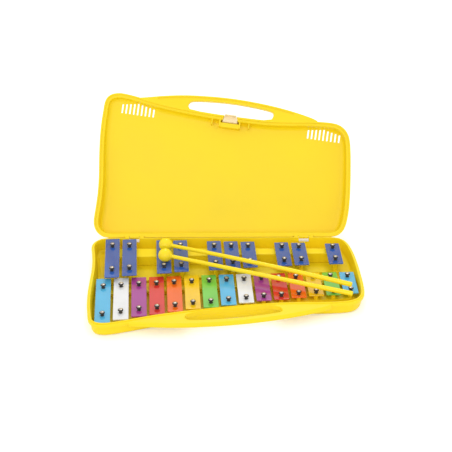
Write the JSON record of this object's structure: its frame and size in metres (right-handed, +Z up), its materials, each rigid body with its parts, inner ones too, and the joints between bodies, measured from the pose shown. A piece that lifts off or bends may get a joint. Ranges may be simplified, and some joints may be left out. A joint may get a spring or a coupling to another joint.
{
  "type": "glockenspiel",
  "caption": "Toy glockenspiel of coloured steel bars on pins in a yellow moulded carry case, with a hinged lid, a rocking latch and two beaters lying across the bars.",
  "frame": {"origin": "on the flat underside of the base tray, near the middle of the closed case", "axes": "+X along the bars' row from the low notes to the high ones, +Y towards the lid's hinge, +Z up"},
  "size_m": [0.4152, 0.3907, 0.2095],
  "materials": {
    "base_tray": "moulded, slight sheen",
    "hinge_pin_left": "plain",
    "hinge_pin_right": "plain",
    "bar_g5": "glossy enamel on steel",
    "bar_a5": "glossy enamel on steel",
    "bar_b5": "glossy enamel on steel",
    "bar_c6": "glossy enamel on steel",
    "bar_d6": "glossy enamel on steel",
    "bar_e6": "glossy enamel on steel",
    "bar_f6": "glossy enamel on steel",
    "bar_g6": "glossy enamel on steel",
    "bar_a6": "glossy enamel on steel",
    "bar_b6": "glossy enamel on steel",
    "bar_c7": "glossy enamel on steel",
    "bar_d7": "glossy enamel on steel",
    "bar_e7": "glossy enamel on steel",
    "bar_f7": "glossy enamel on steel",
    "bar_g7": "glossy enamel on steel",
    "bar_g_sharp_5": "glossy enamel on steel",
    "bar_a_sharp_5": "glossy enamel on steel",
    "bar_c_sharp_6": "glossy enamel on steel",
    "bar_d_sharp_6": "glossy enamel on steel",
    "bar_f_sharp_6": "glossy enamel on steel",
    "bar_g_sharp_6": "glossy enamel on steel",
    "bar_a_sharp_6": "glossy enamel on steel",
    "bar_c_sharp_7": "glossy enamel on steel",
    "bar_d_sharp_7": "glossy enamel on steel",
    "bar_f_sharp_7": "glossy enamel on steel",
    "natural_rear_rail": "moulded, slight sheen",
    "natural_front_rail": "moulded, slight sheen",
    "sharp_rear_rail": "moulded, slight sheen",
    "sharp_front_rail": "moulded, slight sheen",
    "lid_shell": "moulded, slight sheen",
    "latch": "moulded",
    "beater_upper_head": "moulded",
    "beater_upper_stick": "moulded",
    "beater_lower_head": "moulded",
    "beater_lower_stick": "moulded"
  },
  "bodies": {
    "base": {"base_tray": "base_tray", "hinge_pin_left": "hinge_pin_left", "hinge_pin_right": "hinge_pin_right", "bar_g5": "bar_g5", "bar_a5": "bar_a5", "bar_b5": "bar_b5", "bar_c6": "bar_c6", "bar_d6": "bar_d6", "bar_e6": "bar_e6", "bar_f6": "bar_f6", "bar_g6": "bar_g6", "bar_a6": "bar_a6", "bar_b6": "bar_b6", "bar_c7": "bar_c7", "bar_d7": "bar_d7", "bar_e7": "bar_e7", "bar_f7": "bar_f7", "bar_g7": "bar_g7", "bar_g_sharp_5": "bar_g_sharp_5", "bar_a_sharp_5": "bar_a_sharp_5", "bar_c_sharp_6": "bar_c_sharp_6", "bar_d_sharp_6": "bar_d_sharp_6", "bar_f_sharp_6": "bar_f_sharp_6", "bar_g_sharp_6": "bar_g_sharp_6", "bar_a_sharp_6": "bar_a_sharp_6", "bar_c_sharp_7": "bar_c_sharp_7", "bar_d_sharp_7": "bar_d_sharp_7", "bar_f_sharp_7": "bar_f_sharp_7", "natural_rear_rail": "natural_rear_rail", "natural_front_rail": "natural_front_rail", "sharp_rear_rail": "sharp_rear_rail", "sharp_front_rail": "sharp_front_rail"},
    "lid": {"lid_shell": "lid_shell"},
    "latch": {"latch": "latch"},
    "beater_upper": {"beater_upper_head": "beater_upper_head", "beater_upper_stick": "beater_upper_stick"},
    "beater_lower": {"beater_lower_head": "beater_lower_head", "beater_lower_stick": "beater_lower_stick"}
  },
  "joints": [
    {"name": "lid_hinge", "type": "hinge", "parent": "base", "child": "lid", "pos_m": [0, 0.12, 0.0222], "axis": [1, 0, 0], "range_deg": [0, 128]},
    {"name": "latch_rock", "type": "hinge", "parent": "lid", "child": "latch", "pos_m": [0.0093, 0.24464, 0.16923], "axis": [-0.9905, 0.0846, 0.1083], "range_deg": [0, 15], "stiffness_Nm_per_rad": 0.03, "springref_deg": -8.59},
    {"name": "beater_upper_lift", "type": "slide", "parent": "base", "child": "beater_upper", "axis": [0, 0, 1], "range_m": [0, 0.15]},
    {"name": "beater_lower_lift", "type": "slide", "parent": "base", "child": "beater_lower", "axis": [0, 0, 1], "range_m": [0, 0.15]}
  ]
}
